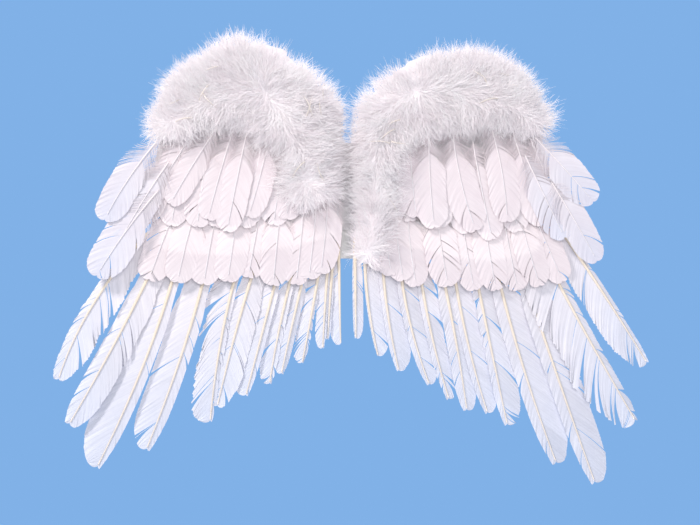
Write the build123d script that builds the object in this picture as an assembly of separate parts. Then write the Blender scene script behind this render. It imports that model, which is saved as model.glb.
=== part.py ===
from build123d import *
import os
from math import sqrt

# Feather angel wings worn on the back: a padded harness board with two elastic shoulder loops, and
# two wire-framed wings that hinge on it.  Millimetres.  +Z is up as worn, +X is the longest extent,
# and the feathered display side faces -Y.  The origin is the centre of the pad face that rests on
# the wearer's back.  "Depth" is the distance in front of that face, so a depth d lies at y = -d.

os.makedirs("parts", exist_ok=True)

# Back pad and harness board
PAD_WIDTH = 38
PAD_HEIGHT = 100
PAD_DEPTH = 7
PAD_SKIN = 1
BOARD_WIDTH = 84
BOARD_HEIGHT = 116
BOARD_THICK = 2
BOARD_CORNER = 14
STRIP_WIDTH = 24
STRIP_THICK = 4.2
STRIP_LOW = -29
STRIP_HIGH = 60

# Elastic shoulder loops, each sewn to two tabs on the back of the board
STRAP_WIDTH = 20
STRAP_THICK = 1.2
STRAP_INNER_X = 21
STRAP_REACH = 92
STRAP_GAP = 0.2
TAB_LOW = 38
TAB_HIGH = 56

# Wing hinge: the root leg of each wire frame turns in sleeves on the strip
HINGE_X = 10
HINGE_DEPTH = 15.4
WIRE_R = 1.3
SLEEVE_BORE_R = 1.36
SLEEVE_R = 2.2
SLEEVES = [(-27, 6), (28, 56)]
FERRULE = (11, 23)
FERRULE_R = 2.1

# Each wing's wire loop, as (outboard, height) corners with their bend radii
WIRE_LOOP = {
    "left": ([(10, -44), (10, 62), (24, 98), (58, 122), (104, 142), (146, 128), (176, 98),
              (190, 40), (186, -22), (108, -56)],
             [5, 14, 18, 40, 30, 26, 30, 40, 24, 60]),
    "right": ([(10, -44), (10, 62), (24, 92), (62, 118), (112, 136), (158, 122), (186, 90),
               (200, 40), (192, -22), (112, -56)],
              [5, 14, 18, 40, 30, 26, 30, 40, 24, 60]),
}

# Cloth skins over the loop and the wadding between them, as (back, front) depths
REAR_SKIN = (12.8, 14.0)
CORE = (14.3, 16.5)
FRONT_SKIN = (16.8, 18.0)
SKIN_START = 14
SKIN_OVERHANG = 5
SKIN_TAB = (4.5, 40)
SKIN_TAB_TOP = -33
SKIN_TAB_HEIGHT = 18
CORE_INSET = 3
FAR = 400

# Flight feathers lie in three layers, given by their middle depth
FLIGHT_LAYERS = (19.7, 21.7, 23.7)
VANE_THICK = 0.7
BARE_QUILL = 0.12
SHAFT_R = 1.15
SHAFT_TIP_R = 0.4
SHAFT_STATIONS = (0, 0.33, 0.66, 0.97)

# A vane opens out of the quill from VANE_LEAST of its width, and each side rounds off near the tip
VANE_STATIONS = (0, 0.08, 0.2, 0.4, 0.62, 0.8, 0.9, 0.96, 0.99, 1)
VANE_LEAST = 0.2
VANE_OPENING = 0.25
OUTER_ROUNDING = 0.84
INNER_ROUNDING = 0.72

# Flight feathers, outermost first: shaft root, point half way down the shaft and tip, each as
# (outboard, height), then the widths of the vane outboard and inboard of the shaft
FLIGHTS = {
    "left": [
        ((200, -31), (257, -105), (292, -181), 10, 25),
        ((182, -36), (228, -131), (281, -226), 12, 21),
        ((166, -40), (200, -151), (253, -270), 30, 9),
        ((136, -44), (164, -146), (203, -252), 24, 10),
        ((103, -44), (125, -130), (138, -223), 26, 6),
        ((86, -46), (109, -121), (131, -208), 12, 20),
        ((62, -44), (81, -117), (102, -197), 19, 6),
        ((47, -43), (65, -115), (78, -185), 15, 6),
        ((35, -42), (51, -108), (66, -175), 10, 6),
        ((23, -42), (33, -101), (45, -164), 14, 5),
        ((17, -42), (21, -95), (24, -149), 9, 3),
        ((12.5, -42), (16, -91), (19, -140), 4, 3),
        ((8.6, -36), (7, -91), (6, -145), 11, 0.9),
    ],
    "right": [
        ((208, -16), (258, -90), (305, -164), 5, 27),
        ((183, -20), (232, -115), (293, -223), 8, 40),
        ((161, -20), (205, -152), (252, -286), 23, 11),
        ((141, -18), (171, -141), (213, -266), 23, 11),
        ((122, -30), (142, -128), (163, -227), 22, 8),
        ((104, -36), (119, -126), (143, -215), 17, 6),
        ((89, -38), (108, -126), (122, -212), 13, 10),
        ((70, -36), (83, -120), (104, -201), 15, 6),
        ((53, -36), (61, -108), (84, -186), 17, 6),
        ((36, -36), (40, -100), (53, -172), 18, 5),
        ((18.5, -38), (21, -95), (32, -157), 17, 2),
        ((8.4, -36), (9, -88), (9.5, -139), 8, 3),
    ],
}

# The band glued over the quills: its upper edge as (outboard, height)
TAPE = (25.2, 25.6)
TAPE_WIDTH = 28
TAPE_EDGE = {
    "left": [(10, -7), (45, -15), (80, -21), (118, -27), (150, -25), (190, -20)],
    "right": [(10, -12), (42, -14), (83, -23), (116, -29), (141, -32), (166, -29), (194, -21)],
}

# Coverts, innermost first: shaft root, point half way and tip as (outboard, height), and half the
# width.  Each group has its own depths, which neighbouring feathers take in turn.
COVERT_THICK = 0.5
COVERT_DEPTHS = {
    "greater_coverts": (25.9, 26.8),
    "median_coverts": (27.7, 28.6),
    "lesser_coverts": (29.5, 30.4),
    "outer_coverts": (31.3, 31.9, 32.5),
}
COVERTS = {
    "left": {
        "greater_coverts": [
            ((42, 6), (46, -38), (50, -84), 14),
            ((64, 8), (70, -38), (72, -85), 14),
            ((84, 6), (92, -36), (98, -77), 14),
            ((106, 6), (114, -38), (118, -81), 14),
            ((126, 6), (137, -40), (142, -84), 15),
            ((146, 6), (161, -38), (168, -82), 15),
            ((164, 8), (184, -36), (197, -80), 15),
        ],
        "median_coverts": [
            ((62, 56), (68, 18), (72, -24), 14),
            ((86, 56), (94, 16), (104, -26), 14),
            ((110, 56), (123, 18), (130, -26), 14),
            ((136, 58), (145, 20), (148, -26), 14),
            ((154, 58), (168, 22), (174, -25), 14),
            ((172, 58), (191, 20), (206, -22), 16),
        ],
        "lesser_coverts": [
            ((76, 72), (87, 26), (98, -16), 13),
            ((98, 74), (110, 24), (119, -31), 13),
            ((112, 74), (127, 30), (138, -19), 13),
            ((130, 72), (154, 38), (176, -4), 12),
            ((150, 74), (172, 42), (194, 3), 12),
        ],
        "outer_coverts": [
            ((176, 38), (204, 2), (224, -40), 17),
            ((186, 8), (222, -30), (247, -78), 20),
            ((188, 58), (221, 20), (239, -21), 17),
        ],
    },
    "right": {
        "greater_coverts": [
            ((62, 4), (64, -40), (70, -86), 13),
            ((88, 6), (95, -40), (101, -86), 15),
            ((113, 6), (120, -40), (128, -90), 14),
            ((135, 8), (142, -38), (150, -90), 14),
            ((154, 6), (163, -40), (172, -90), 14),
            ((168, 6), (181, -38), (194, -86), 13),
            ((180, 4), (200, -38), (217, -82), 13),
        ],
        "median_coverts": [
            ((58, 56), (61, 18), (63, -20), 14),
            ((80, 56), (86, 14), (95, -27), 14),
            ((104, 58), (112, 14), (122, -32), 14),
            ((127, 60), (136, 14), (146, -39), 14),
            ((150, 62), (162, 16), (172, -31), 13),
            ((184, 62), (205, 18), (222, -32), 15),
        ],
        "lesser_coverts": [
            ((64, 68), (66, 26), (70, -16), 13),
            ((84, 74), (84, 24), (88, -27), 15),
            ((108, 74), (114, 26), (130, -30), 15),
            ((140, 80), (156, 34), (159, -21), 14),
            ((166, 70), (182, 26), (197, -24), 15),
        ],
        "outer_coverts": [
            ((178, 46), (200, 4), (218, -38), 16),
            ((204, 18), (229, -18), (250, -62), 15),
            ((188, 62), (219, 33), (246, -3), 17),
        ],
    },
}

# Pillows of down, as outlines of (outboard, height): the mass over the leading edge and the one
# over the wing's root, which meet at FLUFF_SPLIT.  Below COVERT_ROOT_LINE they lie over coverts.
FLUFF_SPLIT = 72
FLUFF_SPLIT_GAP = 0.3
FLUFF_EDGE = {
    "left": [(56, 58), (58, 143), (71, 151), (96, 162), (122, 164), (138, 150), (158, 139),
             (182, 118), (190, 100), (202, 62), (184, 54), (148, 61), (98, 60)],
    "right": [(56, 58), (60, 134), (110, 151), (133, 151), (164, 139), (186, 121), (199, 97),
              (208, 80), (204, 64), (182, 60), (148, 64), (112, 62), (80, 58)],
}
FLUFF_ROOT = {
    "left": [(5, 0), (3, 60), (12, 106), (34, 130), (58, 142), (88, 156), (94, 60), (74, 48),
             (70, 4), (56, -14), (26, -12)],
    "right": [(5, -54), (4, 20), (7, 84), (26, 116), (60, 134), (90, 136), (98, 100), (84, 58),
              (62, 36), (55, 0), (48, -34), (36, -62), (19, -74)],
}
FLUFF_BACK = 18.3
FLUFF_FRONT = 46
FLUFF_OVER_COVERTS = 33.1
FLUFF_PROFILE = [(FLUFF_BACK, 0.92), (26, 1), (38, 0.97), (FLUFF_FRONT, 0.78)]
COVERT_ROOT_LINE = 88


def point(side, out, height, depth):
    """A point of a wing: side is -1 for the left wing and 1 for the right one."""
    return (side * out, -depth, height)


def slab(outline, depth, thick):
    """A flat sketch drawn in x and z, thickened forwards from a depth."""
    return extrude(Plane.XZ.offset(depth) * outline, amount=thick)


def box_between(x, depth, z):
    """A box given by its limits in x, depth and z."""
    size = (x[1] - x[0], depth[1] - depth[0], z[1] - z[0])
    middle = ((x[0] + x[1]) / 2, -(depth[0] + depth[1]) / 2, (z[0] + z[1]) / 2)
    return Pos(*middle) * Box(*size)


def tube_on_hinge(side, z, outer_r, inner_r):
    """A tube round the hinge axis, between two heights."""
    middle = Pos(side * HINGE_X, -HINGE_DEPTH, (z[0] + z[1]) / 2)
    return middle * (Cylinder(outer_r, z[1] - z[0]) - Cylinder(inner_r, z[1] - z[0]))


# Harness

def harness_board():
    face = RectangleRounded(BOARD_WIDTH, BOARD_HEIGHT, BOARD_CORNER)
    return slab(face, PAD_DEPTH, BOARD_THICK)


def hinge_strip():
    """Folded webbing sewn down the middle of the board, which carries the sleeves."""
    back = PAD_DEPTH + BOARD_THICK
    half = STRIP_WIDTH / 2
    return box_between((-half, half), (back, back + STRIP_THICK), (STRIP_LOW, STRIP_HIGH))


def hinge_sleeves(side):
    """Sleeves round the wire's root leg, each with a foot that is sewn to the strip."""
    strip_front = PAD_DEPTH + BOARD_THICK + STRIP_THICK
    sleeves = []
    for z in SLEEVES:
        x = side * HINGE_X
        foot = box_between((x - SLEEVE_R, x + SLEEVE_R), (strip_front, HINGE_DEPTH), z)
        bore = Pos(x, -HINGE_DEPTH, (z[0] + z[1]) / 2) * Cylinder(SLEEVE_BORE_R, z[1] - z[0])
        sleeves.append(tube_on_hinge(side, z, SLEEVE_R, SLEEVE_BORE_R) + (foot - bore))
    return Compound(children=[sleeve.solid() for sleeve in sleeves])


def pad_block(inset):
    """The pad's block, full size or smaller all round by an inset."""
    face = RectangleRounded(PAD_WIDTH - 2 * inset, PAD_HEIGHT - 2 * inset, BOARD_CORNER - inset)
    return slab(face, inset, PAD_DEPTH - inset)


def pad_cover():
    return pad_block(0) - pad_block(PAD_SKIN)


def pad_foam():
    return pad_block(PAD_SKIN)


def strap_tabs(side):
    """The flat ends of one shoulder loop, sewn to the back of the board above and below."""
    x = sorted((side * STRAP_INNER_X, side * (STRAP_INNER_X + STRAP_WIDTH)))
    depth = (PAD_DEPTH - STRAP_THICK, PAD_DEPTH)
    tabs = [box_between(x, depth, z) for z in ((TAB_LOW, TAB_HIGH), (-TAB_HIGH, -TAB_LOW))]
    return Compound(children=[tab.solid() for tab in tabs])


def strap(side):
    """A shoulder loop: a flat elastic band that leaves the upper tab and returns to the lower."""
    x = side * (STRAP_INNER_X + STRAP_WIDTH / 2)
    near = -(PAD_DEPTH - STRAP_THICK - STRAP_GAP - STRAP_THICK / 2)
    corners = [(near, TAB_LOW + 2), (near, TAB_HIGH + 6), (24, 70), (78, 52), (STRAP_REACH, 0)]
    path_points = [(x, y, z) for y, z in corners]
    path_points += [(x, y, -z) for y, z in reversed(corners[:-1])]
    radii = [8, 22, 30, 60, 30, 22, 8]
    path = FilletPolyline(*path_points, radius=radii)
    section = Plane(origin=path @ 0, x_dir=(1, 0, 0), z_dir=path % 0)
    return sweep(section * Rectangle(STRAP_WIDTH, STRAP_THICK), path=path)


# Wing structure

def wire_outline(side, name):
    """The wire's centre line, drawn flat: straight runs joined by bends."""
    corners, radii = WIRE_LOOP[name]
    return FilletPolyline(*[(side * out, height) for out, height in corners], radius=radii, close=True)


def wire_frame(side, name):
    """One spring-wire loop.  Its straight inner leg is the wing's hinge pin."""
    path = Plane.XZ.offset(HINGE_DEPTH) * wire_outline(side, name)
    return sweep(Plane(origin=path @ 0, z_dir=path % 0) * Circle(WIRE_R), path=path)


def wire_ferrule(side):
    return tube_on_hinge(side, FERRULE, FERRULE_R, WIRE_R)


def outboard_of(side, start):
    """A flat region that keeps all of a wing that lies outboard of a line."""
    return Pos(side * (start + FAR / 2), 0) * Rectangle(FAR, 2 * FAR)


def core_wadding(side, name):
    """Wadding that fills the wire loop between the two skins."""
    inside = offset(make_face(wire_outline(side, name)), amount=-CORE_INSET)
    return slab(inside & outboard_of(side, SKIN_START), CORE[0], CORE[1] - CORE[0])


def skin(side, name):
    """The outline of a cloth skin, which overhangs the wire loop."""
    return offset(make_face(wire_outline(side, name)), amount=SKIN_OVERHANG) & outboard_of(side, SKIN_START)


def rear_skin(side, name):
    return slab(skin(side, name), REAR_SKIN[0], REAR_SKIN[1] - REAR_SKIN[0])


def front_skin(side, name):
    """The skin that the feathers are glued to, with a tab below the hinge for the inner quills."""
    tab_middle = Pos(side * sum(SKIN_TAB) / 2, SKIN_TAB_TOP - SKIN_TAB_HEIGHT / 2)
    tab = tab_middle * Rectangle(SKIN_TAB[1] - SKIN_TAB[0], SKIN_TAB_HEIGHT)
    return slab(skin(side, name) + tab, FRONT_SKIN[0], FRONT_SKIN[1] - FRONT_SKIN[0])


# Feathers

def bow(root, half, tip):
    """The curve of a feather's shaft, as a function of 0 at the root to 1 at the tip."""
    bend = [2 * h - (r + t) / 2 for r, h, t in zip(root, half, tip)]

    def place(t):
        return [(1 - t) ** 2 * r + 2 * t * (1 - t) * b + t * t * e for r, b, e in zip(root, bend, tip)]

    def heading(t):
        along = [2 * (1 - t) * (b - r) + 2 * t * (e - b) for r, b, e in zip(root, bend, tip)]
        length = sqrt(along[0] ** 2 + along[1] ** 2)
        return [part / length for part in along]

    return place, heading


def vane_share(t, start, rounding):
    """How much of its full width a vane has at t."""
    opening = min(1, (t - start) / VANE_OPENING)
    opened = VANE_LEAST + (1 - VANE_LEAST) * opening * opening * (3 - 2 * opening)
    past = max(0, (t - rounding) / (1 - rounding))
    return opened * sqrt(1 - past * past)


def vane(side, curve, widths, start, depth, thick):
    """A flat vane with an outboard and an inboard width on either side of its shaft."""
    place, heading = curve
    edges = []
    for turn, width, rounding in zip((1, -1), widths, (OUTER_ROUNDING, INNER_ROUNDING)):
        edge = []
        for share in VANE_STATIONS:
            t = start + share * (1 - start)
            (out, height), (along_out, along_height) = place(t), heading(t)
            reach = turn * width * vane_share(t, start, rounding)
            edge.append((side * (out - along_height * reach), height + along_out * reach))
        edges.append(edge)
    outer, inner = edges
    outline = Spline(outer) + Spline(inner) + Line(outer[0], inner[0])
    return slab(make_face(outline), depth - thick / 2, thick)


def shaft(side, curve, depth):
    """A round quill that tapers from its root nearly to the feather's tip."""
    place, heading = curve
    sections = []
    for t in SHAFT_STATIONS:
        (out, height), (along_out, along_height) = place(t), heading(t)
        radius = SHAFT_R + (SHAFT_TIP_R - SHAFT_R) * t
        plane = Plane(origin=point(side, out, height, depth), z_dir=(side * along_out, 0, along_height))
        sections.append(plane * Circle(radius))
    return loft(sections)


def flight_feather(side, row, layer):
    root, half, tip, outer_width, inner_width = row
    curve = bow(root, half, tip)
    depth = FLIGHT_LAYERS[layer]
    blade = vane(side, curve, (outer_width, inner_width), BARE_QUILL, depth, VANE_THICK)
    return blade + shaft(side, curve, depth)


def coverts(side, rows, depths):
    """A group of overlapping coverts, which lie in the group's layers in turn."""
    feathers = []
    for place, (root, half, tip, half_width) in enumerate(rows):
        depth = depths[place % len(depths)] + COVERT_THICK / 2
        curve = bow(root, half, tip)
        feathers.append(vane(side, curve, (half_width, half_width), 0, depth, COVERT_THICK).solid())
    return Compound(children=feathers)


def feather_tape(side, name):
    """The band that is glued over the quills of the flight feathers."""
    top = [(side * out, height) for out, height in TAPE_EDGE[name]]
    low = [(x, height - TAPE_WIDTH) for x, height in top]
    outline = Spline(top) + Spline(low) + Line(top[0], low[0]) + Line(top[-1], low[-1])
    return slab(make_face(outline), TAPE[0], TAPE[1] - TAPE[0])


def fluff(side, outline, inner, outer):
    """A pillow of down between two outboard limits, stepped forwards where coverts lie under it."""
    middle = [sum(values) / len(outline) for values in zip(*outline)]
    sections = []
    for depth, share in FLUFF_PROFILE:
        points = [[m + (v - m) * share for v, m in zip(place, middle)] for place in outline]
        curve = Spline([(side * out, height) for out, height in points], periodic=True)
        sections.append(Plane.XZ.offset(depth) * make_face(curve))
    x = sorted((side * inner, side * outer))
    room = box_between(x, (0, FAR), (-FAR, FAR))
    under = box_between(x, (0, FLUFF_OVER_COVERTS), (-FAR, COVERT_ROOT_LINE))
    return (loft(sections) & room) - under


# Assembly

def build_parts():
    parts = {
        "harness_board": harness_board(),
        "hinge_strip": hinge_strip(),
        "pad_cover": pad_cover(),
        "pad_foam": pad_foam(),
    }
    for name, side in (("left", -1), ("right", 1)):
        parts[name + "_strap"] = strap(side)
        parts[name + "_strap_tabs"] = strap_tabs(side)
        parts[name + "_hinge_sleeves"] = hinge_sleeves(side)
        parts[name + "_wire_frame"] = wire_frame(side, name)
        parts[name + "_wire_ferrule"] = wire_ferrule(side)
        parts[name + "_core_wadding"] = core_wadding(side, name)
        parts[name + "_rear_skin"] = rear_skin(side, name)
        parts[name + "_front_skin"] = front_skin(side, name)
        parts[name + "_feather_tape"] = feather_tape(side, name)
        parts[name + "_fluff_edge"] = fluff(side, FLUFF_EDGE[name], FLUFF_SPLIT + FLUFF_SPLIT_GAP, FAR)
        parts[name + "_fluff_root"] = fluff(side, FLUFF_ROOT[name], 0, FLUFF_SPLIT)
        for group, rows in COVERTS[name].items():
            parts[name + "_" + group] = coverts(side, rows, COVERT_DEPTHS[group])
        count = len(FLIGHTS[name])
        for place, row in enumerate(FLIGHTS[name]):
            layer = (count - 1 - place) % len(FLIGHT_LAYERS)
            parts[f"{name}_flight_{place + 1:02d}"] = flight_feather(side, row, layer)
    return parts


for node, shape in build_parts().items():
    export_step(shape, f"parts/{node}.step")
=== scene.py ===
import math

import bpy
import numpy as np
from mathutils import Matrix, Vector


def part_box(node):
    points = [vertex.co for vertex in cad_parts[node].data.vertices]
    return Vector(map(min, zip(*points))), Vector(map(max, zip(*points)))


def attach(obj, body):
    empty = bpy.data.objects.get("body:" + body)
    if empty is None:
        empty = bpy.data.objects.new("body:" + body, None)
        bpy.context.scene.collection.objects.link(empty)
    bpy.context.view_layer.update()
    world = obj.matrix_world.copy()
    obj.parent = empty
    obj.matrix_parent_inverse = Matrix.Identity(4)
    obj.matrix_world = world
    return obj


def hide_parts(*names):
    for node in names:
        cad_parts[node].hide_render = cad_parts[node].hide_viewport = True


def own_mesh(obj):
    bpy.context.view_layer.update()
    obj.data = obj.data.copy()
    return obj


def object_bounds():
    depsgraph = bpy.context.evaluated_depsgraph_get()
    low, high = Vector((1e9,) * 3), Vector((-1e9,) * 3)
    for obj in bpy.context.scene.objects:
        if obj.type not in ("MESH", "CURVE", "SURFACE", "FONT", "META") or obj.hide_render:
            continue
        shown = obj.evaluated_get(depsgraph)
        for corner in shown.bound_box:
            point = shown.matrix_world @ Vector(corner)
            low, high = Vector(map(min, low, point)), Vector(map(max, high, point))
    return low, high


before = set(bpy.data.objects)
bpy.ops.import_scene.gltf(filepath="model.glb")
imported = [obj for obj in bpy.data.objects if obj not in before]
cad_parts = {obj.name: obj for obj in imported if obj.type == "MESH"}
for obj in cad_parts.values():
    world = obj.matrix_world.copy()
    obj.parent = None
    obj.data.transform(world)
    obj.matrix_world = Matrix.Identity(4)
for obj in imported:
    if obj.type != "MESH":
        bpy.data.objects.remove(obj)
cad_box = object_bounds()

MM = 0.001
SIDES = {"left": -1.0, "right": 1.0}
FRONT = np.array([0.0, -1.0, 0.0])
UP = np.array([0.0, 0.0, 1.0])


# Numbers and points

def seeded(name):
    """A random generator that depends only on a piece's name."""
    return np.random.default_rng(sum(ord(letter) * (place + 7) for place, letter in enumerate(name)))


def lerp(a, b, t):
    return a + (b - a) * t


def smooth(value):
    value = np.clip(value, 0, 1)
    return value * value * (3 - 2 * value)


def unit(v):
    return v / np.maximum(np.linalg.norm(v, axis=-1, keepdims=True), 1e-12)


def placed(flat, depth):
    """Points of the x-z plane set at a depth."""
    return np.stack([flat[..., 0], np.broadcast_to(depth, flat.shape[:-1]), flat[..., 1]], axis=-1)


def corners(node):
    return (np.array(corner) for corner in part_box(node))


# Meshes

def quads(rows, columns, closed):
    """The faces between neighbouring points that are numbered row by row."""
    across = np.arange(columns if closed else columns - 1)
    row = np.arange(rows - 1)[:, None] * columns
    here, after = row + across, row + (across + 1) % columns
    return np.stack([here, after, after + columns, here + columns], axis=-1).reshape(-1, 4)


class Build:
    """Collects the points and faces of one piece, each point with a tint, each face with a material."""

    def __init__(self):
        self.points, self.tints, self.faces, self.slots = [], [], [], []
        self.count = 0

    def add(self, points, faces, tint, slot=0):
        """Takes in more points, and faces that count from the first of them."""
        points = np.asarray(points, float).reshape(-1, 3)
        tint = np.broadcast_to(np.asarray(tint, float), points.shape)
        faces = np.asarray(faces, int).reshape(-1, 4)
        self.points.append(points)
        self.tints.append(tint)
        self.faces.append(faces + self.count)
        self.slots.append(np.full(len(faces), slot))
        self.count += len(points)

    def ribbons(self, paths, across, half_widths, tint, slot=0):
        """Thin bands: paths is (bands, steps, 3), and across points over each band's width."""
        bands, steps = paths.shape[:2]
        offset = across * half_widths[..., None]
        points = np.stack([paths - offset, paths + offset], axis=2)
        if tint.ndim == 2:
            tint = np.broadcast_to(tint[:, None, :], (bands, steps, 3))
        tints = np.repeat(tint[:, :, None, :], 2, axis=2)
        start = (np.arange(bands)[:, None] * steps + np.arange(steps - 1)[None, :]) * 2
        faces = np.stack([start, start + 1, start + 3, start + 2], axis=-1)
        self.add(points.reshape(-1, 3), faces.reshape(-1, 4), tints.reshape(-1, 3), slot)

    def tube(self, path, radii, tint, slot=0, sides=8, flat=1.0):
        """A round or flattened tube along a path, with closed ends."""
        steps = len(path)
        along = unit(np.gradient(path, axis=0))
        over = unit(np.cross(along, np.where(abs(along[:, 1:2]) > 0.9, UP, FRONT)))
        other = np.cross(along, over)
        turn = (np.arange(sides) / sides * 2 * math.pi)[None, :, None]
        ring = over[:, None] * np.cos(turn) + other[:, None] * np.sin(turn) * flat
        points = path[:, None] + ring * np.broadcast_to(radii, (steps,))[:, None, None]
        if tint.ndim == 2:
            tint = np.repeat(tint[:, None], sides, axis=1).reshape(-1, 3)
        caps = [[k, (k + 1) % sides, (sides - 2 - k) % sides, sides - 1 - k] for k in range(sides // 2 - 1)]
        last = (steps - 1) * sides
        ends = caps + [[last + corner for corner in cap[::-1]] for cap in caps]
        self.add(points, np.vstack([quads(steps, sides, True), ends]), tint, slot)

    def grid(self, points, tint, slot=0, closed=False):
        """A sheet given as rows of points."""
        self.add(points, quads(*points.shape[:2], closed), tint.reshape(-1, 3), slot)

    def cloth(self, points, back, tint):
        """A sheet with thickness: rows of points on its front, and the same rows on its back."""
        rows, columns = points.shape[:2]
        front_at = self.count + np.arange(rows * columns).reshape(rows, columns)
        back_at = (front_at + rows * columns)[:, ::-1]
        self.grid(points, tint)
        self.grid(back[:, ::-1], tint)
        for here, there in ((front_at[0], back_at[0]), (back_at[-1], front_at[-1]),
                            (back_at[:, 0], front_at[:, 0]), (front_at[:, -1], back_at[:, -1])):
            self.faces.append(np.stack([here[1:], here[:-1], there[:-1], there[1:]], axis=1))
            self.slots.append(np.zeros(len(here) - 1, int))

    def finish(self, name, body, materials, slot, node):
        """Makes the piece, which rides on a body and shows in place of a node."""
        points = np.vstack(self.points)
        faces = np.vstack(self.faces)
        mesh = bpy.data.meshes.new(name)
        mesh.vertices.add(len(points))
        mesh.vertices.foreach_set("co", points.astype(np.float32).ravel())
        mesh.loops.add(faces.size)
        mesh.loops.foreach_set("vertex_index", faces.astype(np.int32).ravel())
        mesh.polygons.add(len(faces))
        mesh.polygons.foreach_set("loop_start", np.arange(0, faces.size, 4, dtype=np.int32))
        mesh.polygons.foreach_set("material_index", np.concatenate(self.slots).astype(np.int32))
        mesh.polygons.foreach_set("use_smooth", np.full(len(faces), True))
        tint = mesh.color_attributes.new("tint", "FLOAT_COLOR", "POINT")
        colours = np.ones((len(points), 4), np.float32)
        colours[:, :3] = np.vstack(self.tints)
        tint.data.foreach_set("color", colours.ravel())
        flat_map(mesh, points, faces)
        mesh.update()
        mesh.validate()
        for material in materials:
            mesh.materials.append(material)
        piece = bpy.data.objects.new(name, mesh)
        bpy.context.collection.objects.link(piece)
        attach(piece, body)
        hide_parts(node)
        return piece


def flat_map(mesh, points, faces):
    """A flat UV layout seen from the front, so that nothing has to unwrap thousands of barbs."""
    layer = mesh.uv_layers.new(name="OFBake")
    low, high = points.min(0), points.max(0)
    size = max(high[0] - low[0], high[2] - low[2])
    flat = (points[:, [0, 2]] - low[[0, 2]]) / size * 0.98 + 0.01
    layer.data.foreach_set("uv", flat[faces.ravel()].astype(np.float32).ravel())


# Materials

class Look:
    """A Principled material, whose patterns run over the object's own coordinates in metres."""

    def __init__(self, name, roughness, sheen=0.0):
        self.made = bpy.data.materials.new(name)
        self.made.use_nodes = True
        self.nodes, self.links = self.made.node_tree.nodes, self.made.node_tree.links
        self.shader = self.nodes["Principled BSDF"]
        self.shader.inputs["Roughness"].default_value = roughness
        self.shader.inputs["Sheen Weight"].default_value = sheen

    def noise(self, scale, detail=3.0, rough=0.5, stretch=(1, 1, 1)):
        """Irregular mottling, drawn out along an axis by the stretch."""
        place = self.nodes.new("ShaderNodeTexCoord")
        sized = self.nodes.new("ShaderNodeMapping")
        sized.inputs["Scale"].default_value = stretch
        texture = self.nodes.new("ShaderNodeTexNoise")
        texture.inputs["Scale"].default_value = scale
        texture.inputs["Detail"].default_value = detail
        texture.inputs["Roughness"].default_value = rough
        self.links.new(place.outputs["Object"], sized.inputs["Vector"])
        self.links.new(sized.outputs["Vector"], texture.inputs["Vector"])
        return texture.outputs["Fac"]

    def woven(self, pitch):
        """The height of a plain weave: two crossed waves."""
        place = self.nodes.new("ShaderNodeTexCoord")
        both = self.nodes.new("ShaderNodeMath")
        both.operation = "MULTIPLY"
        for socket, axis in enumerate(("X", "Z")):
            threads = self.nodes.new("ShaderNodeTexWave")
            threads.bands_direction = axis
            threads.inputs["Scale"].default_value = 0.314 / pitch
            threads.inputs["Distortion"].default_value = 0.6
            threads.inputs["Detail"].default_value = 1.0
            self.links.new(place.outputs["Object"], threads.inputs["Vector"])
            self.links.new(threads.outputs["Fac"], both.inputs[socket])
        return both.outputs["Value"]

    def graded(self, value, low, high):
        """A colour ramp between two colours."""
        ramp = self.nodes.new("ShaderNodeValToRGB")
        for element, place, colour in zip(ramp.color_ramp.elements, (0.3, 0.7), (low, high)):
            element.position = place
            element.color = (*colour, 1)
        self.links.new(value, ramp.inputs["Fac"])
        return ramp.outputs["Color"]

    def plain(self, value, low, high):
        """The patterned colour alone."""
        self.links.new(self.graded(value, low, high), self.shader.inputs["Base Color"])

    def tinted(self, value, low, high):
        """The patterned colour times the mesh's tint."""
        tint = self.nodes.new("ShaderNodeAttribute")
        tint.attribute_name = "tint"
        mix = self.nodes.new("ShaderNodeMix")
        mix.data_type = "RGBA"
        mix.blend_type = "MULTIPLY"
        mix.inputs["Factor"].default_value = 1.0
        self.links.new(tint.outputs["Color"], mix.inputs["A"])
        self.links.new(self.graded(value, low, high), mix.inputs["B"])
        self.links.new(mix.outputs["Result"], self.shader.inputs["Base Color"])

    def bumped(self, height, strength, distance):
        bump = self.nodes.new("ShaderNodeBump")
        bump.inputs["Strength"].default_value = strength
        bump.inputs["Distance"].default_value = distance
        self.links.new(height, bump.inputs["Height"])
        self.links.new(bump.outputs["Normal"], self.shader.inputs["Normal"])


def feather_material(name, roughness, sheen, low, scale):
    look = Look(name, roughness, sheen)
    look.shader.inputs["Sheen Roughness"].default_value = 0.5
    look.tinted(look.noise(scale), low, (1, 1, 1))
    return look.made


def quill_material():
    look = Look("quill_keratin", 0.32)
    look.shader.inputs["Coat Weight"].default_value = 0.25
    streaks = look.noise(900, 2.0, 0.5, (1, 1, 0.06))
    look.tinted(streaks, (0.93, 0.91, 0.88), (1, 1, 1))
    look.bumped(streaks, 0.2, 0.0002)
    return look.made


def cloth_material(name, pitch, roughness, sheen, low):
    """Woven cloth: crossed threads, with slubs and soft mottling over them."""
    look = Look(name, roughness, sheen)
    height = look.nodes.new("ShaderNodeMath")
    height.operation = "MULTIPLY_ADD"
    height.inputs[1].default_value = 0.45
    look.links.new(look.woven(pitch), height.inputs[0])
    look.links.new(look.noise(0.16 / pitch, 4.0, 0.65), height.inputs[2])
    look.tinted(height.outputs["Value"], low, (1, 1, 1))
    look.bumped(height.outputs["Value"], 0.7, 0.0006)
    return look.made


def metal_material(name, colour, roughness, stretch):
    look = Look(name, roughness)
    look.shader.inputs["Metallic"].default_value = 1.0
    streaks = look.noise(1400, 3.0, 0.6, stretch)
    look.plain(streaks, tuple(part * 0.75 for part in colour), colour)
    look.bumped(streaks, 0.15, 0.0001)
    return look.made


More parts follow.
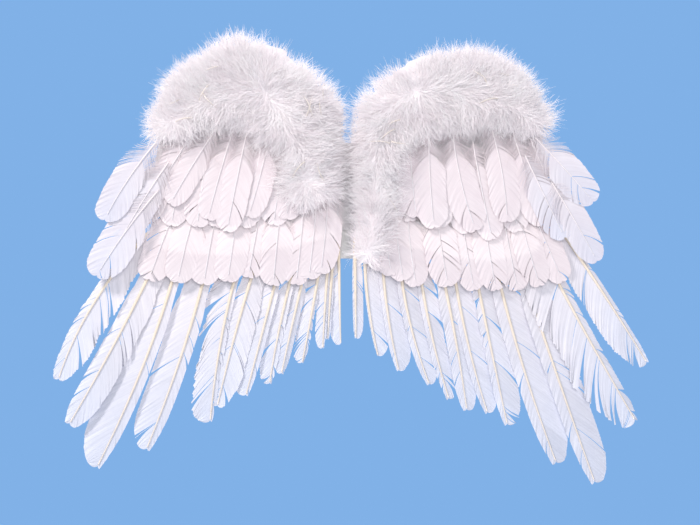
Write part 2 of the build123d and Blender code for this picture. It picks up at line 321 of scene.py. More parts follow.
def plain_material(name, roughness, low, high, scale):
    look = Look(name, roughness)
    grain = look.noise(scale)
    look.plain(grain, low, high)
    look.bumped(grain, 0.15, 0.0002)
    return look.made


VANE = feather_material("vane_barbs", 0.5, 0.25, (0.94, 0.95, 0.97), 60)
COVERT = feather_material("covert_barbs", 0.6, 0.3, (0.95, 0.93, 0.94), 45)
DOWN = feather_material("marabou_down", 0.7, 0.6, (0.97, 0.95, 0.96), 30)
QUILL = quill_material()


# Reading the CAD feathers

def node_points(node):
    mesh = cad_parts[node].data
    points = np.empty(len(mesh.vertices) * 3)
    mesh.vertices.foreach_get("co", points)
    return points.reshape(-1, 3)


def loose_parts(node):
    """The points of each separate solid of a node, innermost first."""
    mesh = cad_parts[node].data
    points = node_points(node)
    _, same = np.unique(np.round(points, 6), axis=0, return_inverse=True)
    same = same.ravel()
    label = np.arange(same.max() + 1)
    edges = np.array([edge.vertices[:] for edge in mesh.edges])
    ends = same[edges]
    while True:
        least = np.minimum(label[ends[:, 0]], label[ends[:, 1]])
        before = label.copy()
        np.minimum.at(label, ends[:, 0], least)
        np.minimum.at(label, ends[:, 1], least)
        label = label[label]
        if (label == before).all():
            break
    owner = label[same]
    parts = [points[owner == part] for part in np.unique(owner)]
    return sorted(parts, key=lambda part: abs(part[:, 0].mean()))


class Outline:
    """A feather's shaft line and the width of its vane on each side, read from its CAD solid."""

    STEPS = 60
    SHAFT_PROUD = 0.37 * MM

    def __init__(self, points, side, has_shaft):
        self.depth = (points[:, 1].min() + points[:, 1].max()) / 2
        flat = points[:, [0, 2]]
        middle = flat.mean(0)
        axis = np.linalg.svd(flat - middle, full_matrices=False)[2][0]
        if axis[1] > 0:
            axis = -axis
        along = (flat - middle) @ axis
        over = np.array([-axis[1], axis[0]])
        if over[0] * side < 0:
            over = -over
        sideways = (flat - middle) @ over
        in_shaft = abs(points[:, 1] - self.depth) > self.SHAFT_PROUD
        if has_shaft and in_shaft.sum() > 8:
            line = np.polyfit(along[in_shaft], sideways[in_shaft], 3)
        else:
            line = self.middle_line(along, sideways)
        t = np.linspace(along.min(), along.max(), self.STEPS)
        self.length = t[-1] - t[0]
        centre = np.polyval(line, t)
        self.line = middle + t[:, None] * axis + centre[:, None] * over
        self.heading = unit(np.gradient(self.line, axis=0))
        self.outward = np.stack([-self.heading[:, 1], self.heading[:, 0]], axis=1)
        self.outward *= np.sign(self.outward @ over)[:, None]
        self.outer = self.reach(along, sideways - np.polyval(line, along), t)
        self.inner = self.reach(along, np.polyval(line, along) - sideways, t)
        self.share = np.linspace(0, 1, self.STEPS)

    @staticmethod
    def middle_line(along, sideways):
        """A curve through the middle of the vane, for a feather whose solid has no shaft."""
        bins = np.linspace(along.min(), along.max(), 13)
        mids, centres = [], []
        for low, high in zip(bins[:-1], bins[1:]):
            values = sideways[(along >= low) & (along <= high)]
            if len(values) > 1 and values.max() - values.min() >= 2 * MM:
                mids.append((low + high) / 2)
                centres.append((values.max() + values.min()) / 2)
        return np.polyfit(mids, centres, 2)

    def reach(self, along, sideways, t):
        """How far the vane stands out on one side, along the shaft."""
        step = t[1] - t[0]
        reach = np.full(self.STEPS, np.nan)
        for k, place in enumerate(t):
            near = (abs(along - place) <= step) & (sideways > 0)
            if near.any():
                reach[k] = sideways[near].max()
        known = ~np.isnan(reach)
        reach = np.interp(t, t[known], reach[known])
        peak = np.maximum.accumulate(reach)
        tail = np.maximum.accumulate(reach[::-1])[::-1]
        return np.minimum(peak, tail)

    def at(self, values, share):
        """A shaft value at shares of the length, from 0 at the root to 1 at the tip."""
        share = np.clip(share, 0, 1)
        if values.ndim == 1:
            return np.interp(share, self.share, values)
        return np.stack([np.interp(share, self.share, column) for column in values.T], axis=-1)


# Feathers

WHITE = np.array([0.76, 0.755, 0.79])
# Painted light: a bluish tone that stands in for the blue backdrop seen through the thin vane tips.
PAINTED_BACKDROP_BLUE = np.array([0.62, 0.67, 0.80])
WARM = np.array([0.80, 0.735, 0.75])
CREAM = np.array([0.92, 0.80, 0.63])


def splits_of(random, style):
    """Where a vane has split, as rows of station, width and size of the gap."""
    count = style["splits"]
    place = random.uniform(0.2, 0.96, count)
    size = style["split"] * random.uniform(0.3, 1.0, count)
    return np.stack([place, size * random.uniform(2.5, 6.0, count), size], axis=1)


def parted(share, splits):
    """How far each barb's end is pushed along the vane by the splits."""
    push = np.zeros_like(share)
    for place, width, size in splits:
        push += np.sign(share - place) * size * np.exp(-abs(share - place) / width)
    return push


def bunch(random, share, count):
    """A number for each barb that changes from one bunch of barbs to the next."""
    return np.searchsorted(np.sort(random.uniform(0.02, 0.98, count)), share)


def blurred(values, width):
    """Values along a row, evened out over a number of neighbours."""
    window = np.hanning(width + 2)[1:-1]
    padded = np.pad(values, width // 2, mode="edge")
    return np.convolve(padded, window / window.sum(), mode="same")[width // 2: width // 2 + len(values)]


class Half:
    """The barbs on one side of a shaft: side is 1 outboard and -1 inboard."""

    def __init__(self, outline, random, side, style):
        self.outline, self.random, self.side, self.style = outline, random, side, style
        self.reach = outline.outer if side > 0 else outline.inner
        self.count = int(outline.length * (1 - style["start"]) / style["spacing"])
        self.root = np.linspace(style["start"], 0.992, self.count)

    def ends(self):
        """Where each barb ends along the shaft, and how far out, with its tears and bunches."""
        style, random, root = self.style, self.random, self.root
        self.angle = lerp(style["angle"], style["tip_angle"], root ** 2)
        self.angle = self.angle + blurred(random.normal(0, 0.12, self.count), 25)
        width = self.outline.at(self.reach, root)
        left = 1.0 - root
        ahead = width / np.tan(self.angle) / self.outline.length
        tip = 1.0 - left * np.exp(-ahead / np.maximum(left, 1e-4))
        splits = splits_of(random, style)
        self.tear = np.searchsorted(np.sort(splits[:, 0]), root)
        self.tears = self.tear.max() + 1
        self.clump = bunch(random, root, style["bunches"])
        self.clumps = self.clump.max() + 1
        push = blurred(random.normal(0, style["clump"], self.clumps)[self.clump], 9)
        tip = np.maximum.accumulate(np.clip(tip + push + parted(root, splits), root, 1.0))
        whole = 1 - style["fray"] * blurred(random.random(self.count) ** 2, 3)
        whole *= 1 - style["fray"] * 0.8 * random.random(self.clumps)[self.clump] ** 2
        whole *= 1 - style["fray"] * 1.5 * random.random(self.tears)[self.tear] ** 2
        return tip, np.maximum(self.outline.at(self.reach, tip) * whole, 0.02 * width)

    def curves(self):
        """Each barb seen from the front: a curve that leaves the shaft and bends towards the tip."""
        tip, span = self.ends()
        outline, root, style = self.outline, self.root, self.style
        start = outline.at(outline.line, root)
        outward = outline.at(outline.outward, root) * self.side
        heading = outline.at(outline.heading, root)
        end = outline.at(outline.line, tip) + outline.at(outline.outward, tip) * self.side * span[:, None]
        half = 0.5 * np.linalg.norm(end - start, axis=1)[:, None]
        leave = (self.angle + style["leave"])[:, None]
        knee = start + (heading * np.cos(leave) + outward * np.sin(leave)) * half
        u = np.linspace(0, 1, style["steps"])[None, :, None]
        flat = (1 - u) ** 2 * start[:, None] + 2 * u * (1 - u) * knee[:, None] + u ** 2 * end[:, None]
        self.flow = u[..., 0]
        self.lateral = np.einsum("nkj,nj->nk", flat - start[:, None], outward)
        self.loose = np.clip(1 - root / max(style["downy"], 1e-4), 0, 1)[:, None]
        return flat

    def depths(self):
        """How far each barb stands off the feather's plane: camber, lean, lift and folds."""
        style, random, root = self.style, self.random, self.root
        full = max(self.reach.max(), 1e-4)
        droop = style["camber"] * (1.0 if self.side > 0 else 0.35) * self.lateral ** 2 / full
        lean = math.tan(style["lean"]) * self.side * self.lateral
        lift = random.normal(0, style["lift"], self.clumps)[self.clump]
        lift = lift + random.normal(0, style["lift"], self.tears)[self.tear]
        lift = blurred(lift, 9)[:, None] * self.flow ** 1.5
        beat = random.uniform(0, 6, 3)
        waves = np.sin(root * style["folds"] + beat[0]) * np.sin(root * 19 + beat[1])
        waves += 0.6 * np.sin(root * style["folds"] * 1.7 + beat[2])
        fold = style["ripple"] * waves + blurred(random.normal(0, style["ridge"] * 1.6, self.count), 3)
        fluffed = self.loose * random.normal(0, 1.0, (self.count, 1)) * self.flow ** 1.5 * style["fluff"]
        depth = style["depth"] + lean + droop + lift + fluffed + fold[:, None] * self.flow
        return depth + arch(style, root, self.outline)[:, None]

    def tints(self, paths):
        """The colour of each barb, from its root to its end, times any painted glow where it lies."""
        style, random = self.style, self.random
        shade = random.normal(0, style["shade"], (self.count, 1))
        shade = shade + random.normal(0, style["shade"] * 0.7, self.clumps)[self.clump][:, None]
        tone = lerp(style["root_tint"], style["tip_tint"], np.clip(self.root * 1.1, 0, 1)[:, None])
        tone = np.clip(tone * (1 + shade), 0, 1)
        edge = lerp(1.0, style["edge"], self.flow ** 3)[..., None]
        return np.clip(tone[:, None, :] * edge * style["glow"](paths), 0, 1)

    def add_to(self, build):
        """Puts the barbs into a piece: a web where they hook together, loose ones near the root."""
        style, random = self.style, self.random
        flat = self.curves()
        paths = placed(flat, self.depths())
        wander = self.loose[..., None] * random.normal(0, 1.0, (self.count, 1, 3))
        paths = paths + wander * (self.flow ** 1.3)[..., None] * style["fluff"] * 1.2
        tint = self.tints(paths)
        free = self.root < style["downy"] * (0.75 + 0.2 * random.random(self.clumps)[self.clump])
        join_barbs(build, paths, tint, self.tear, free)
        separate_barbs(build, random, paths[free], tint[free], style["spacing"] * np.sin(self.angle[free]))


def join_barbs(build, paths, tint, tear, free):
    """Barbs that hook together into one web, torn only where the vane has split."""
    cuts = np.flatnonzero((np.diff(tear) != 0) | (np.diff(free.astype(int)) != 0)) + 1
    ends = [0, *cuts, len(paths)]
    for first, last in zip(ends[:-1], ends[1:]):
        if last - first > 1 and not free[first]:
            build.grid(paths[first:last], tint[first:last], 0)


def separate_barbs(build, random, paths, tint, pitch):
    """Loose barbs near the root, each a thin band of its own."""
    if len(paths) == 0:
        return
    along = unit(np.gradient(paths, axis=1))
    over = unit(np.cross(along, FRONT))
    tilt = random.normal(0.1, 0.3, (len(paths), 1, 1))
    across = over * np.cos(tilt) + np.cross(along, over) * np.sin(tilt)
    taper = lerp(1.0, 0.45, np.linspace(0, 1, paths.shape[1]))
    build.ribbons(paths, across, pitch[:, None] * 0.62 * taper, tint, 0)


def arch(style, share, outline):
    """The bow of the whole feather towards or away from the viewer."""
    return style["bow"] * outline.length * np.clip(share, 0, 1) ** 2


def feather(build, outline, random, style):
    """A whole feather: both halves of its vane, and its shaft."""
    full = style["full_base"] * smooth(outline.share / 0.06) * smooth((0.75 - outline.share) / 0.2)
    outline.outer = np.maximum(outline.outer, full * outline.outer.max()) * style["widen"]
    outline.inner = np.maximum(outline.inner, full * outline.inner.max()) * style["widen"]
    Half(outline, random, 1, style).add_to(build)
    Half(outline, random, -1, style).add_to(build)
    share = np.linspace(0, style["shaft_end"], 36)
    flat = outline.at(outline.line, share)
    depth = style["depth"] + arch(style, share, outline) - style["shaft_r"] * style["shaft_flat"] * 0.8
    path = placed(flat, depth)
    radii = lerp(style["shaft_r"], style["shaft_tip_r"], share ** style["shaft_fall"])
    radii[0] *= 0.6
    tint = lerp(style["quill_root"], style["quill_tip"], np.clip(share * 1.15, 0, 1)[:, None] ** 1.1)
    build.tube(path, radii, tint, 1, 8, style["shaft_flat"])


def no_glow(paths):
    return 1.0


# Painted light on the coverts: a brighter tint over the tape, and a painted shade tint away from it.
PAINTED_GLOW_TINT = np.array([1.07, 1.05, 1.04])
PAINTED_SHADE_TINT = np.array([0.965, 0.945, 0.95])


def painted_tape_glow(wing):
    """A painted glow on the coverts: a lighter band where the tape lies under them, and a painted shade tint
    everywhere else.
    """
    top = node_points(wing + "_feather_tape")
    x, z = top[:, 0], top[:, 2]
    line = np.polyfit(x, z, 3)
    half = (z - np.polyval(line, x)).std()

    def glow(paths):
        off = abs(paths[..., 2] - np.polyval(line, paths[..., 0]))
        inside = (off < half) & (paths[..., 0] > x.min()) & (paths[..., 0] < x.max())
        return np.where(inside[..., None], PAINTED_GLOW_TINT, PAINTED_SHADE_TINT)

    return glow


FLIGHT_STYLE = {
    "spacing": 0.62 * MM, "start": 0.03, "angle": 0.66, "tip_angle": 0.36, "leave": 0.2,
    "bunches": 7, "clump": 0.0016, "split": 0.009, "fray": 0.03, "steps": 7,
    "camber": 0.12, "lean": 0.085, "lift": 0.4 * MM, "ripple": 0.24 * MM, "folds": 120.0,
    "ridge": 0.035 * MM, "full_base": 0.8, "widen": 1.0, "downy": 0.03, "fluff": 0.8 * MM, "shade": 0.035,
    # The tips fade to the painted blue of the backdrop seen through them.
    "root_tint": lerp(WARM, WHITE, 0.3), "tip_tint": lerp(WHITE, PAINTED_BACKDROP_BLUE, 0.75), "edge": 1.05,
    "glow": no_glow, "shaft_end": 0.985, "shaft_r": 1.9 * MM, "shaft_tip_r": 0.6 * MM,
    "shaft_fall": 0.95, "shaft_flat": 0.5, "quill_root": CREAM, "quill_tip": lerp(CREAM, WHITE, 0.5),
}
COVERT_STYLE = {
    "spacing": 0.62 * MM, "start": 0.02, "angle": 0.72, "tip_angle": 0.30, "leave": 0.3,
    "bunches": 6, "clump": 0.004, "split": 0.013, "fray": 0.05, "steps": 7,
    "camber": 0.035, "lift": 0.16 * MM, "ripple": 0.22 * MM, "folds": 55.0,
    "ridge": 0.035 * MM, "full_base": 0.0, "widen": 1.2, "downy": 0.3, "fluff": 1.7 * MM, "shade": 0.018,
    "root_tint": WARM, "tip_tint": lerp(WHITE, WARM, 0.75), "edge": 1.04, "bow": -0.010,
    "shaft_end": 0.93, "shaft_r": 0.85 * MM, "shaft_tip_r": 0.3 * MM,
    "shaft_fall": 0.8, "shaft_flat": 0.7, "quill_root": WARM * 1.12, "quill_tip": WHITE * 1.12,
}
FLIGHT_PLANE = -21.9 * MM
COVERT_CLEARANCE = 0.35 * MM

# Flight feathers that are more worn than the rest: number and size of the splits, and fraying
WORN = {
    "left_flight_01": (5, 0.014, 0.12), "left_flight_02": (3, 0.02, 0.05),
    "left_flight_05": (7, 0.02, 0.18), "left_flight_06": (4, 0.014, 0.06),
    "left_flight_08": (4, 0.03, 0.2), "left_flight_10": (6, 0.04, 0.25),
    "right_flight_01": (5, 0.014, 0.10), "right_flight_02": (9, 0.022, 0.12),
    "right_flight_05": (6, 0.02, 0.10), "right_flight_08": (4, 0.02, 0.08),
}


def flight_feathers():
    """The long quills, each split and frayed in its own way."""
    for name in sorted(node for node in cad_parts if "_flight_" in node):
        wing = name.split("_")[0]
        outline = Outline(node_points(name), SIDES[wing], True)
        random = seeded(name)
        style = dict(FLIGHT_STYLE)
        style["depth"] = FLIGHT_PLANE
        style["splits"] = int(random.integers(1, 4))
        style["bow"] = random.uniform(-0.012, 0.012)
        if name in WORN:
            style["splits"], style["split"], style["fray"] = WORN[name]
        build = Build()
        feather(build, outline, random, style)
        build.finish(name + "_feather", wing + "_wing", [VANE, QUILL], "flight_feather", name)


FILLER_STEPS = (13, 25, 36)


def inner_fillers(name, parts, side):
    """Small feathers that carry a row of coverts on to the inner edge of the wing."""
    if "lesser" in name or "outer" in name:
        return []
    fillers = []
    for step in FILLER_STEPS:
        moved = parts[0] - np.array([side * step * MM, 0.15 * MM, -0.45 * step * MM])
        if abs(moved[:, 0]).min() > 4 * MM and (moved[:, 0] * side > 0).all():
            fillers.append(moved)
    return fillers


def covert_feathers():
    """The rows of short feathers that lie over the quills, with a painted glow where the tape lies under
    them.
    """
    for name in sorted(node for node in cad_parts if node.endswith("_coverts")):
        wing = name.split("_")[0]
        random = seeded(name)
        glow = painted_tape_glow(wing)
        build = Build()
        parts = loose_parts(name)
        for part in parts + inner_fillers(name, parts, SIDES[wing]):
            outline = Outline(part, SIDES[wing], False)
            style = dict(COVERT_STYLE)
            style["depth"] = outline.depth - COVERT_CLEARANCE
            if "outer" in name:
                # The outer coverts' tips also take the painted blue of the backdrop seen through them.
                style.update(widen=1.04, root_tint=lerp(WHITE, WARM, 0.5), tip_tint=lerp(WHITE, PAINTED_BACKDROP_BLUE, 0.6))
            style["lean"] = random.uniform(-0.03, 0.03)
            style["splits"] = int(random.integers(0, 4))
            # The painted glow over the tape, and painted shade away from it.
            style["glow"] = glow
            feather(build, outline, random, style)
        build.finish(name + "_feathers", wing + "_wing", [COVERT, QUILL], "covert_feather", name)


# Marabou down

def wave(place, seed):
    """A smooth irregular value between about -1 and 1 over a plane."""
    x, z = place[..., 0] * 1000, place[..., 1] * 1000
    return (np.sin(x * 0.11 + z * 0.05 + seed) + np.sin(z * 0.13 - x * 0.07 + seed * 2.1)
            + np.sin(x * 0.23 + z * 0.19 + seed * 0.7)) / 3


class Rim:
    """A pillow's outline seen from the front, as its reach from a middle point at each angle."""

    COUNT = 120

    def __init__(self, node):
        flat = node_points(node)[:, [0, 2]]
        self.low, self.high = flat.min(0), flat.max(0)
        self.middle = (self.low + self.high) / 2
        apart = flat - self.middle
        turn = np.arctan2(apart[:, 1], apart[:, 0])
        far = np.linalg.norm(apart, axis=1)
        self.angles = np.linspace(-math.pi, math.pi, self.COUNT, endpoint=False)
        reach = np.full(self.COUNT, np.nan)
        for k, angle in enumerate(self.angles):
            near = abs((turn - angle + math.pi) % (2 * math.pi) - math.pi) < 0.045
            if near.any():
                reach[k] = far[near].max()
        known = ~np.isnan(reach)
        self.reach = np.interp(self.angles, self.angles[known], reach[known], period=2 * math.pi)
        self.ways = np.stack([np.cos(self.angles), np.sin(self.angles)], axis=1)
        self.points = self.middle + self.ways * self.reach[:, None]

    def share(self, flat):
        """0 at the middle and 1 on the rim."""
        apart = flat - self.middle
        turn = np.arctan2(apart[..., 1], apart[..., 0])
        return np.linalg.norm(apart, axis=-1) / np.interp(turn, self.angles, self.reach, period=2 * math.pi)


class Mass:
    """The down of one wing: both of its pillows taken as one soft body."""

    DOME = 30 * MM

    def __init__(self, wing):
        self.rims = {part: Rim(f"{wing}_{part}") for part in ("fluff_edge", "fluff_root")}
        edge, root = self.rims.values()
        self.open = {"fluff_edge": root.share(edge.points) > 1.05,
                     "fluff_root": edge.share(root.points) > 1.05}
        self.border = np.vstack([rim.points[self.open[part]] for part, rim in self.rims.items()])
        low, high = corners(f"{wing}_fluff_edge")
        self.back, self.front = high[1], low[1] + 7 * MM
        self.seed = 1.0 if wing == "left" else 4.0

    def inset(self, flat):
        """How far inside the border each point is."""
        apart = flat[..., None, :] - self.border
        return np.linalg.norm(apart, axis=-1).min(-1)

    def depth(self, flat, inset):
        """The front of the soft body at each point."""
        rise = 1 - (1 - np.clip(inset / self.DOME, 0, 1)) ** 2
        lumps = 2.2 * MM * wave(flat, self.seed) * rise
        return lerp(self.back - 3 * MM, self.front, rise) + lumps

    def outward(self, flat):
        """The way the down lies: away from the thick of the mass, towards its border."""
        apart = self.border - flat[:, None, :]
        near = np.linalg.norm(apart, axis=-1, keepdims=True)
        return unit((apart / np.maximum(near, 2 * MM) ** 3.2).sum(1))


def pillow(build, mass, part, tint):
    """The soft body under the down."""
    rim = mass.rims[part]
    bare = np.tile(mass.open[part].astype(float), 3)
    near, far = (np.convolve(bare, np.ones(n) / n, mode="same")[rim.COUNT: 2 * rim.COUNT] for n in (5, 15))
    reach = rim.reach + np.maximum(lerp(12 * MM, -10 * MM, near), lerp(2 * MM, -10 * MM, smooth(2 * far - 1)))
    rings = np.concatenate([np.linspace(0.0, 0.97, 15), [1.0]])
    flat = rim.middle + rim.ways[None] * (rings[:, None] * reach[None, :])[..., None]
    sunk = 1.2 * MM if part == "fluff_root" else 0.0
    front = mass.depth(flat, mass.inset(flat)) + 2.5 * MM + sunk
    back = np.full_like(front, mass.back - 0.5 * MM - sunk)
    front[-1] = back[-1] = (front[-2] + back[-2]) / 2
    for level, order in ((front, slice(None)), (back, slice(None, None, -1))):
        build.grid(placed(flat, level)[:, order], tint, 0, True)


FOREMOST = -50 * MM


def strands(build, random, roots, ways, length, tint, width=0.2 * MM, steps=5, spread=0.16):
    """Fine barbs of down that leave their roots in bunches and curl."""
    count = len(roots)
    u = np.linspace(0, 1, steps)[None, :, None]
    size = length[:, None, None]
    curl = random.normal(0, spread, (count, 1, 3))
    bend = random.normal(0, spread, (count, 1, 3))
    paths = roots[:, None] + ways[:, None] * u * size + (curl * u ** 2 + bend * u ** 3) * size
    paths = paths + np.sin(u * 6 + random.uniform(0, 6, (count, 1, 1))) * curl * 0.12 * size * u
    over = np.clip(FOREMOST - paths[..., 1], 0, None)
    paths[..., 1] += over - 4 * MM * (1 - np.exp(-over / (4 * MM)))
    along = unit(np.gradient(paths, axis=1))
    across = unit(np.cross(along, FRONT + random.normal(0, 0.5, (count, 1, 3))))
    half = np.broadcast_to(width * lerp(1.0, 0.3, np.linspace(0, 1, steps)), paths.shape[:2])
    build.ribbons(paths, across, half, tint)


def tufts(build, random, mass, part, count, barbs, length, tint):
    """Bunches of barbs all over one pillow, combed towards its border."""
    rim = mass.rims[part]
    flat = rim.low + random.random((count * 3, 2)) * (rim.high - rim.low)
    flat = flat[rim.share(flat) < 0.985]
    inset = mass.inset(flat)
    way = mass.outward(flat)
    clear = inset > lerp(7 * MM, 13 * MM, smooth(-2 * way[:, 1]))
    flat, inset, way = flat[clear][:count], inset[clear][:count], way[clear][:count]
    way = way + random.normal(0, 0.28, flat.shape)
    rise = random.uniform(0.1, 0.5, len(flat)) * np.clip(inset / (20 * MM), 0.35, 1)
    lay = np.repeat(unit(placed(way, -rise)), barbs, axis=0) + random.normal(0, 0.2, (len(flat) * barbs, 3))
    base = np.repeat(flat, barbs, axis=0) + random.normal(0, 1.8 * MM, (len(flat) * barbs, 2))
    base_inset = mass.inset(base)
    depth = mass.depth(base, base_inset) + random.uniform(0, 3 * MM, len(base))
    size = np.repeat(length * random.uniform(0.7, 1.2, len(flat)), barbs)
    size = size * random.uniform(0.6, 1.1, len(base))
    shade = np.repeat(random.normal(0, 0.025, len(flat)), barbs) + random.normal(0, 0.03, len(base))
    strands(build, random, placed(base, depth), unit(lay), size, np.clip(tint * (1 + shade[:, None]), 0, 1))


def back_tufts(build, random, mass, part, count, barbs, length, tint):
    """Barbs round the border of a pillow, which close it towards the back."""
    rim = mass.rims[part]
    open_points = rim.points[mass.inset(rim.points) < 20 * MM]
    pick = random.integers(0, len(open_points), count * barbs)
    base = lerp(rim.middle, open_points[pick], random.uniform(0.5, 0.93, (count * barbs, 1)))
    depth = mass.back + 0.5 * MM - 6.5 * MM * random.random(len(base)) ** 2
    way = unit(open_points[pick] - rim.middle) + random.normal(0, 0.35, base.shape)
    ways = unit(placed(way, random.uniform(-0.25, 0.45, len(base))))
    size = length * random.uniform(0.5, 1.0, len(base))
    shade = random.normal(0, 0.03, (len(base), 1))
    strands(build, random, placed(base, depth), ways, size, np.clip(tint * (0.98 + shade), 0, 1))


def bare_quills(build, random, mass, part, count):
    """Ends of plume quills that lie bare on the down."""
    rim = mass.rims[part]
    for _ in range(count):
        middle = rim.middle + (random.random(2) - 0.5) * (rim.high - rim.low) * 0.55
        way = mass.outward(middle[None])[0]
        way = np.array([way[1], -way[0]]) * random.choice([-1, 1]) + way * random.uniform(-0.5, 1.0)
        way /= np.linalg.norm(way)
        size = random.uniform(14, 26) * MM
        share = np.linspace(-0.5, 0.5, 12)
        flat = middle + share[:, None] * way * size
        flat = flat + (share[:, None] ** 2) * np.array([-way[1], way[0]]) * size * 0.25
        depth = mass.depth(flat, mass.inset(flat)) - 4.2 * MM + 5 * MM * (2 * share) ** 2
        radii = lerp(0.85 * MM, 0.4 * MM, share + 0.5)
        build.tube(placed(flat, depth), radii, lerp(CREAM, WHITE, 0.55), 1, 8)


FLUFF_STYLE = {
    "fluff_edge": {"tufts": 1250, "length": 14.5 * MM, "quills": 5},
    "fluff_root": {"tufts": 800, "length": 15.5 * MM, "quills": 6},
}
BARBS = 12
DOWN_TINT = np.array([1.0, 0.955, 0.97])


def clear_of_middle(points, side, back):
    """Down at a wing's inner edge, kept out of the way of the other wing and of the hinge."""
    least = lerp(-3 * MM, 7 * MM, smooth((points[:, 1] - back + 9 * MM) / (9 * MM)))
    short = np.clip(least - side * points[:, 0], 0, None)
    points[:, 0] += side * (short - 1.5 * MM * (1 - np.exp(-short / (1.5 * MM))))


def down():
    """The marabou of both wings, kept clear of the other wing and of the hinge at each wing's inner edge."""
    for wing in SIDES:
        mass = Mass(wing)
        for part, style in FLUFF_STYLE.items():
            name = f"{wing}_{part}"
            random = seeded(name)
            build = Build()
            # The pillow is tinted 0.93 of the down: painted shade deep in the down.
            pillow(build, mass, part, DOWN_TINT * 0.93)
            tufts(build, random, mass, part, style["tufts"], BARBS, style["length"], DOWN_TINT)
            back_tufts(build, random, mass, part, style["tufts"] // 2, BARBS, style["length"], DOWN_TINT)
            bare_quills(build, random, mass, part, style["quills"])
            for points in build.points:
                clear_of_middle(points, SIDES[wing], mass.back)
            piece = build.finish(name + "_down", wing + "_wing", [DOWN, QUILL], "marabou", name)
            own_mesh(piece)


# Cloth and harness

CLOTH = cloth_material("backing_cotton", 0.7 * MM, 0.9, 0.15, (0.84, 0.84, 0.86))
SATIN = cloth_material("satin_ribbon", 0.45 * MM, 0.38, 0.5, (0.93, 0.92, 0.93))
WEBBING = cloth_material("webbing_weave", 1.1 * MM, 0.8, 0.2, (0.78, 0.78, 0.8))
ELASTIC = cloth_material("elastic_weave", 0.9 * MM, 0.7, 0.25, (0.82, 0.82, 0.84))
PAD_CLOTH = cloth_material("brushed_pad_cloth", 0.8 * MM, 0.95, 0.5, (0.86, 0.86, 0.87))
WADDING = feather_material("wadding_fibre", 0.95, 0.3, (0.9, 0.9, 0.91), 180)
FOAM = plain_material("cell_foam", 0.95, (0.78, 0.77, 0.72), (0.88, 0.87, 0.83), 900)
THREAD = plain_material("sewing_thread", 0.6, (0.52, 0.52, 0.55), (0.66, 0.66, 0.68), 1500)
CLOTH_TINT = np.array([0.82, 0.80, 0.80])
THREAD_TINT = np.array([0.62, 0.62, 0.64])


class Flat:
    """A flat sheet of the CAD that is as wide as one span of z at each x."""

    def __init__(self, node):
        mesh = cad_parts[node].data
        points = node_points(node)
        self.low, self.high = points.min(0), points.max(0)
        is_front = points[:, 1] < (self.low[1] + self.high[1]) / 2
        triangles = np.array([face.vertices[:3] for face in mesh.polygons])
        sides = triangles[is_front[triangles].sum(1) == 2]
        ends = sides[is_front[sides]].reshape(-1, 2)
        ends = ends[np.linalg.norm(points[ends[:, 0]] - points[ends[:, 1]], axis=1) > 1e-6]
        self.rim = points[ends][:, :, [0, 2]]

    def span(self, x):
        """The lowest and highest z at each x."""
        a, b = self.rim[:, 0], self.rim[:, 1]
        x = np.asarray(x)[:, None]
        inside = (np.minimum(a[:, 0], b[:, 0]) <= x) & (x <= np.maximum(a[:, 0], b[:, 0]))
        run = np.where(abs(b[:, 0] - a[:, 0]) < 1e-9, 1e-9, b[:, 0] - a[:, 0])
        z = a[:, 1] + (b[:, 1] - a[:, 1]) * np.clip((x - a[:, 0]) / run, 0, 1)
        return np.where(inside, z, np.inf).min(1), np.where(inside, z, -np.inf).max(1)

    def inset(self, flat):
        """The distance of each point from the rim."""
        a, b = self.rim[:, 0], self.rim[:, 1]
        run = b - a
        size = np.maximum((run ** 2).sum(1), 1e-12)
        nearest = np.full(flat.shape[:-1], np.inf)
        for start, step, square in zip(a, run, size):
            share = np.clip(((flat - start) @ step) / square, 0, 1)
            nearest = np.minimum(nearest, np.linalg.norm(flat - start - share[..., None] * step, axis=-1))
        return nearest

    def grid(self, first, last, pitch, rows):
        """Points in columns from one x to another, each as long as the sheet is there."""
        x = np.linspace(first, last, int(abs(last - first) / pitch) + 2)
        low, high = self.span(np.clip(x, self.low[0] + 1e-5, self.high[0] - 1e-5))
        share = np.linspace(0, 1, rows)[:, None]
        return np.stack([np.broadcast_to(x, (rows, len(x))), lerp(low, high, share)], axis=-1)

    def area(self):
        x = np.linspace(self.low[0] + 1e-5, self.high[0] - 1e-5, 400)
        low, high = self.span(x)
        return float(((high - low)[1:] + (high - low)[:-1]).sum() / 2 * (x[1] - x[0]))

    def size(self):
        return float(self.high[0] - self.low[0]), float(self.high[2] - self.low[2])

    def outwards(self, side, margin, pitch, rows):
        """Points in columns from the sheet's inner end to its outer one."""
        inner, outer = (self.low[0], self.high[0])[::int(side)]
        return self.grid(inner + side * margin, outer - side * margin, pitch, rows)


def stitches(build, path, pitch=4.4 * MM, stitch=3.1 * MM, thread=0.36 * MM):
    """A row of stitches along a path of points that lie on the cloth."""
    steps = np.linalg.norm(np.diff(path, axis=0), axis=1)
    along = np.concatenate([[0], np.cumsum(steps)])
    for start in np.arange(0, along[-1] - stitch, pitch):
        place = np.linspace(start, start + stitch, 4)
        points = np.stack([np.interp(place, along, column) for column in path.T], axis=1)
        build.tube(points, thread * np.array([0.5, 1, 1, 0.5]), THREAD_TINT, 1, 4)


SKIN_MIDDLE = -15.4 * MM
SKIN_CLOTH = 0.45 * MM
CASING = 9.5 * MM        # how far in from the rim the row of stitches that closes in the wire runs
INNER_EDGE = 14 * MM
TAPE_ROWS = 26
TAPE_TINT = np.array([0.97, 0.955, 0.965])


